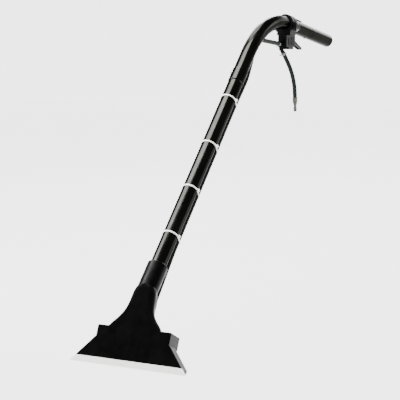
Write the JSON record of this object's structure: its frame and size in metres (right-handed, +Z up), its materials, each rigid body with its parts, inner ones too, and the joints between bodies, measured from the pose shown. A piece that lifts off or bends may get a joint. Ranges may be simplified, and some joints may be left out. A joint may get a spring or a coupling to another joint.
{
  "type": "carpet extraction floor wand",
  "caption": "Bent-tube carpet extraction floor wand with a flared suction head, white glide lip, spray shroud, trigger valve and solution hoses.",
  "frame": {"origin": "on the floor, in the middle of the glide lip's front runner", "axes": "+X across the head, +Y from the head back towards the user's end of the handle, +Z up, in the working pose"},
  "size_m": [0.298, 1.1991, 0.7999],
  "materials": {
    "glide_white": "smooth low-friction moulding",
    "head_black": "satin black moulding",
    "tube_black": "gloss black coating",
    "clamp_black": "black glass-filled moulding",
    "valve_black": "black moulding",
    "lever_black": "black moulding",
    "hose_rubber": "dark green-black solution hose",
    "tie_nylon": "natural nylon",
    "screw_steel": "zinc-plated",
    "clip_steel": "spring steel",
    "brass": "turned",
    "nickel": "nickel-plated",
    "jet_steel": "stainless",
    "seal_rubber": "black seal"
  },
  "bodies": {
    "wand": {"bend_tube": "tube_black", "cable_tie_1": "tie_nylon", "cable_tie_2": "tie_nylon", "cable_tie_3": "tie_nylon", "cable_tie_4": "tie_nylon", "clamp_bolts": "screw_steel", "clamp_lower_half": "clamp_black", "clamp_nuts": "screw_steel", "clamp_tongue_screw": "screw_steel", "clamp_upper_half": "clamp_black", "glide_lip": "glide_white", "handle_joint_screw": "screw_steel", "handle_tube": "tube_black", "head_front_shell": "head_black", "head_rear_shell": "head_black", "head_shell_screws": "screw_steel", "hose_ferrule": "nickel", "inlet_elbow_barb": "valve_black", "inlet_hose": "hose_rubber", "inlet_hose_clamp": "clip_steel", "jet_body_left": "brass", "jet_body_right": "brass", "jet_cap_left": "brass", "jet_cap_right": "brass", "jet_strainer_left": "jet_steel", "jet_strainer_right": "jet_steel", "jet_tip_left": "jet_steel", "jet_tip_right": "jet_steel", "lower_tube": "tube_black", "manifold_barb": "brass", "manifold_hose_clamp": "clip_steel", "neck_screw": "screw_steel", "outlet_barb": "valve_black", "outlet_hose_clamp": "clip_steel", "quick_connect_nipple": "nickel", "shroud_screws": "screw_steel", "solution_hose": "hose_rubber", "spray_manifold": "brass", "spray_shroud": "head_black", "trigger_pivot_pin": "screw_steel", "tube_joint_screw": "screw_steel", "valve_body": "valve_black", "valve_end_plug": "valve_black", "valve_spring": "screw_steel", "valve_stem_seal": "seal_rubber"},
    "trigger": {"trigger_lever": "lever_black"},
    "stem": {"valve_stem": "screw_steel", "valve_seat_seal": "seal_rubber"}
  },
  "joints": [
    {"name": "trigger_hinge", "type": "hinge", "parent": "wand", "child": "trigger", "pos_m": [0, 0.921, 0.714], "axis": [1, 0, 0], "range_deg": [0, 18], "stiffness_Nm_per_rad": 0.25, "springref_deg": -20.05},
    {"name": "stem_slide", "type": "slide", "parent": "wand", "child": "stem", "axis": [0, -1, 0], "range_m": [0, 0.00488], "deforming": ["valve_spring"]}
  ],
  "couplings": [
    {"joint": "stem_slide", "follows": "trigger_hinge", "m_per_rad": 0.0155}
  ]
}
